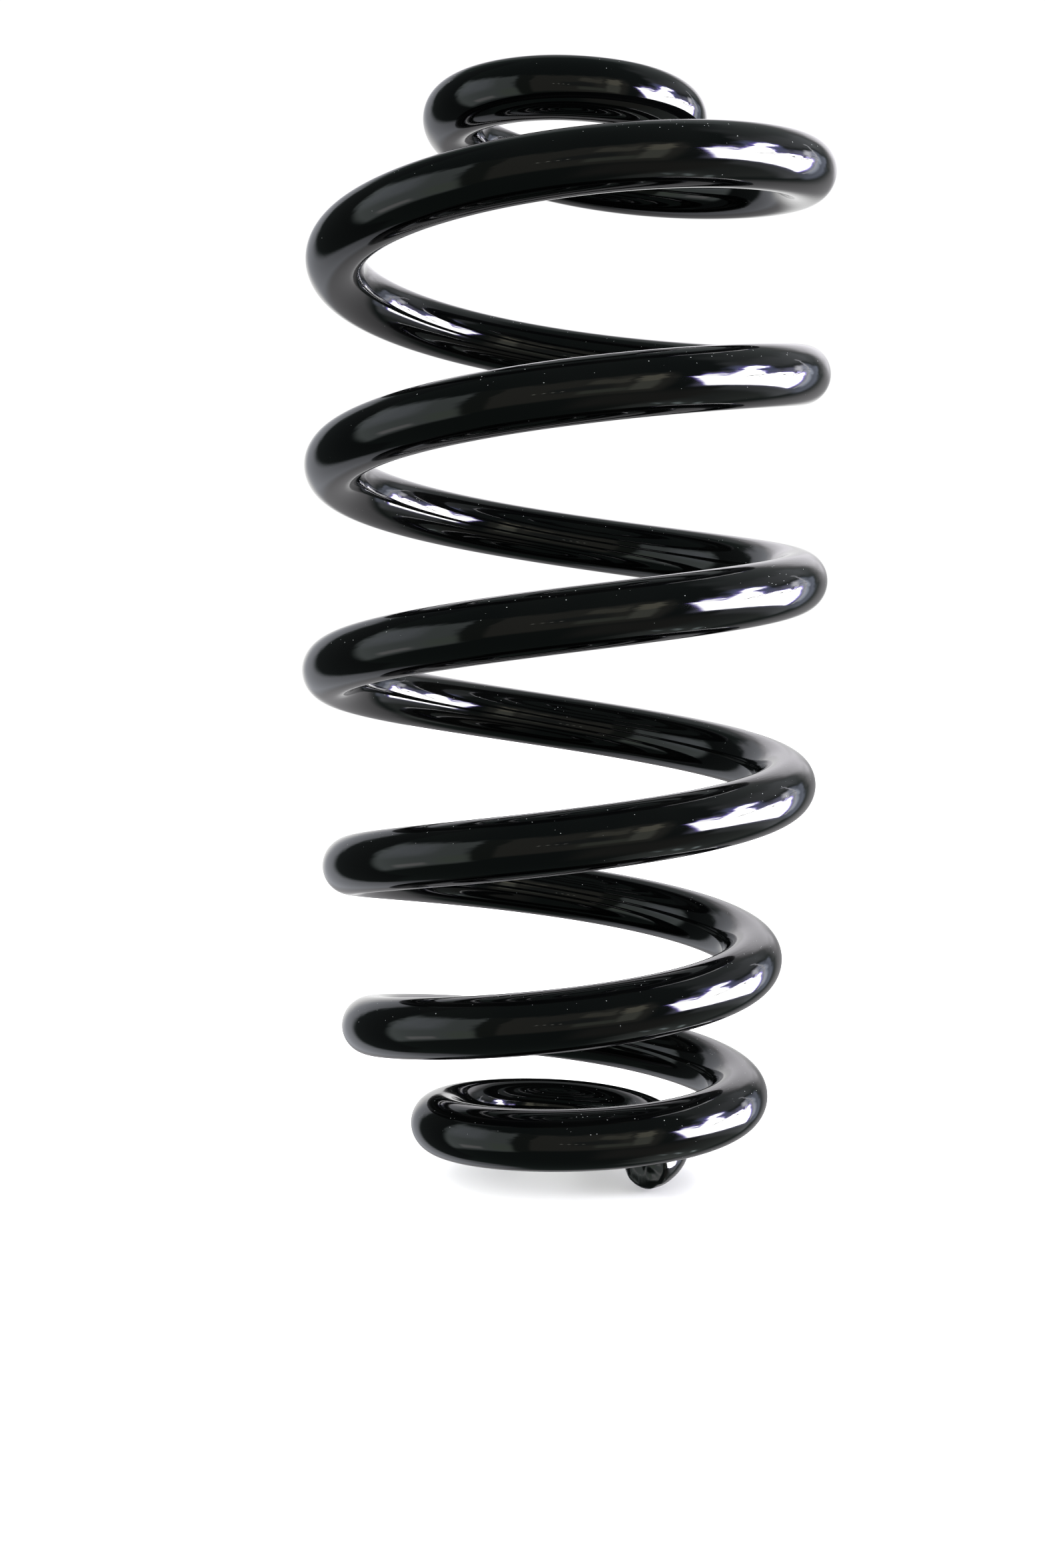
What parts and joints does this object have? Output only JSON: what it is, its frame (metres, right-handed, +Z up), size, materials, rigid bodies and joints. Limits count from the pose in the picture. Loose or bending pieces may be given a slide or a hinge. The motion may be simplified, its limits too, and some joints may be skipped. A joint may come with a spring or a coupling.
{
  "type": "suspension coil spring",
  "caption": "Black painted barrel-shaped compression spring for a rear suspension, wound right-handed from one round bar, with both ends curled inwards.",
  "frame": {"origin": "on the spring's axis, at the plane of the lower seat", "axes": "+Z up along the spring's axis towards the upper seat; +X towards the start of the first full turn, where the turns are counted from"},
  "size_m": [0.1152, 0.1152, 0.2405],
  "materials": {
    "spring_paint": "gloss"
  },
  "bodies": {
    "lower_end_coil": {"lower_end_coil": "spring_paint"},
    "quarter_coil_01": {"quarter_coil_01": "spring_paint"},
    "quarter_coil_02": {"quarter_coil_02": "spring_paint"},
    "quarter_coil_03": {"quarter_coil_03": "spring_paint"},
    "quarter_coil_04": {"quarter_coil_04": "spring_paint"},
    "quarter_coil_05": {"quarter_coil_05": "spring_paint"},
    "quarter_coil_06": {"quarter_coil_06": "spring_paint"},
    "quarter_coil_07": {"quarter_coil_07": "spring_paint"},
    "quarter_coil_08": {"quarter_coil_08": "spring_paint"},
    "quarter_coil_09": {"quarter_coil_09": "spring_paint"},
    "quarter_coil_10": {"quarter_coil_10": "spring_paint"},
    "quarter_coil_11": {"quarter_coil_11": "spring_paint"},
    "quarter_coil_12": {"quarter_coil_12": "spring_paint"},
    "quarter_coil_13": {"quarter_coil_13": "spring_paint"},
    "quarter_coil_14": {"quarter_coil_14": "spring_paint"},
    "quarter_coil_15": {"quarter_coil_15": "spring_paint"},
    "quarter_coil_16": {"quarter_coil_16": "spring_paint"},
    "quarter_coil_17": {"quarter_coil_17": "spring_paint"},
    "quarter_coil_18": {"quarter_coil_18": "spring_paint"},
    "quarter_coil_19": {"quarter_coil_19": "spring_paint"},
    "upper_end_coil": {"upper_end_coil": "spring_paint"}
  },
  "joints": [
    {"name": "squeeze_01", "type": "slide", "parent": "lower_end_coil", "child": "quarter_coil_01", "axis": [0, 0, 1], "range_m": [-0.00342, 0], "stiffness_N_per_m": 1992000},
    {"name": "squeeze_02", "type": "slide", "parent": "quarter_coil_01", "child": "quarter_coil_02", "axis": [0, 0, 1], "range_m": [-0.00346, 0], "stiffness_N_per_m": 1968000},
    {"name": "squeeze_03", "type": "slide", "parent": "quarter_coil_02", "child": "quarter_coil_03", "axis": [0, 0, 1], "range_m": [-0.00356, 0], "stiffness_N_per_m": 1913000},
    {"name": "squeeze_04", "type": "slide", "parent": "quarter_coil_03", "child": "quarter_coil_04", "axis": [0, 0, 1], "range_m": [-0.0037, 0], "stiffness_N_per_m": 1839000},
    {"name": "squeeze_05", "type": "slide", "parent": "quarter_coil_04", "child": "quarter_coil_05", "axis": [0, 0, 1], "range_m": [-0.00401, 0], "stiffness_N_per_m": 1696000},
    {"name": "squeeze_06", "type": "slide", "parent": "quarter_coil_05", "child": "quarter_coil_06", "axis": [0, 0, 1], "range_m": [-0.00449, 0], "stiffness_N_per_m": 1517000},
    {"name": "squeeze_07", "type": "slide", "parent": "quarter_coil_06", "child": "quarter_coil_07", "axis": [0, 0, 1], "range_m": [-0.00505, 0], "stiffness_N_per_m": 1348000},
    {"name": "squeeze_08", "type": "slide", "parent": "quarter_coil_07", "child": "quarter_coil_08", "axis": [0, 0, 1], "range_m": [-0.00562, 0], "stiffness_N_per_m": 1211000},
    {"name": "squeeze_09", "type": "slide", "parent": "quarter_coil_08", "child": "quarter_coil_09", "axis": [0, 0, 1], "range_m": [-0.00608, 0], "stiffness_N_per_m": 1119000},
    {"name": "squeeze_10", "type": "slide", "parent": "quarter_coil_09", "child": "quarter_coil_10", "axis": [0, 0, 1], "range_m": [-0.00635, 0], "stiffness_N_per_m": 1072000},
    {"name": "squeeze_11", "type": "slide", "parent": "quarter_coil_10", "child": "quarter_coil_11", "axis": [0, 0, 1], "range_m": [-0.00646, 0], "stiffness_N_per_m": 1054000},
    {"name": "squeeze_12", "type": "slide", "parent": "quarter_coil_11", "child": "quarter_coil_12", "axis": [0, 0, 1], "range_m": [-0.00646, 0], "stiffness_N_per_m": 1053000},
    {"name": "squeeze_13", "type": "slide", "parent": "quarter_coil_12", "child": "quarter_coil_13", "axis": [0, 0, 1], "range_m": [-0.00642, 0], "stiffness_N_per_m": 1060000},
    {"name": "squeeze_14", "type": "slide", "parent": "quarter_coil_13", "child": "quarter_coil_14", "axis": [0, 0, 1], "range_m": [-0.00638, 0], "stiffness_N_per_m": 1067000},
    {"name": "squeeze_15", "type": "slide", "parent": "quarter_coil_14", "child": "quarter_coil_15", "axis": [0, 0, 1], "range_m": [-0.00638, 0], "stiffness_N_per_m": 1066000},
    {"name": "squeeze_16", "type": "slide", "parent": "quarter_coil_15", "child": "quarter_coil_16", "axis": [0, 0, 1], "range_m": [-0.00639, 0], "stiffness_N_per_m": 1065000},
    {"name": "squeeze_17", "type": "slide", "parent": "quarter_coil_16", "child": "quarter_coil_17", "axis": [0, 0, 1], "range_m": [-0.00639, 0], "stiffness_N_per_m": 1065000},
    {"name": "squeeze_18", "type": "slide", "parent": "quarter_coil_17", "child": "quarter_coil_18", "axis": [0, 0, 1], "range_m": [-0.00638, 0], "stiffness_N_per_m": 1066000},
    {"name": "squeeze_19", "type": "slide", "parent": "quarter_coil_18", "child": "quarter_coil_19", "axis": [0, 0, 1], "range_m": [-0.00638, 0], "stiffness_N_per_m": 1066000},
    {"name": "squeeze_20", "type": "slide", "parent": "quarter_coil_19", "child": "upper_end_coil", "axis": [0, 0, 1], "range_m": [-0.00662, 0], "stiffness_N_per_m": 1028000}
  ],
  "couplings": [
    {"joint": "squeeze_02", "follows": "squeeze_01", "ratio": 1.0117},
    {"joint": "squeeze_03", "follows": "squeeze_01", "ratio": 1.0409},
    {"joint": "squeeze_04", "follows": "squeeze_01", "ratio": 1.0819},
    {"joint": "squeeze_05", "follows": "squeeze_01", "ratio": 1.1725},
    {"joint": "squeeze_06", "follows": "squeeze_01", "ratio": 1.3129},
    {"joint": "squeeze_07", "follows": "squeeze_01", "ratio": 1.4766},
    {"joint": "squeeze_08", "follows": "squeeze_01", "ratio": 1.6433},
    {"joint": "squeeze_09", "follows": "squeeze_01", "ratio": 1.7778},
    {"joint": "squeeze_10", "follows": "squeeze_01", "ratio": 1.8567},
    {"joint": "squeeze_11", "follows": "squeeze_01", "ratio": 1.8889},
    {"joint": "squeeze_12", "follows": "squeeze_01", "ratio": 1.8889},
    {"joint": "squeeze_13", "follows": "squeeze_01", "ratio": 1.8772},
    {"joint": "squeeze_14", "follows": "squeeze_01", "ratio": 1.8655},
    {"joint": "squeeze_15", "follows": "squeeze_01", "ratio": 1.8655},
    {"joint": "squeeze_16", "follows": "squeeze_01", "ratio": 1.8684},
    {"joint": "squeeze_17", "follows": "squeeze_01", "ratio": 1.8684},
    {"joint": "squeeze_18", "follows": "squeeze_01", "ratio": 1.8655},
    {"joint": "squeeze_19", "follows": "squeeze_01", "ratio": 1.8655},
    {"joint": "squeeze_20", "follows": "squeeze_01", "ratio": 1.9357}
  ]
}
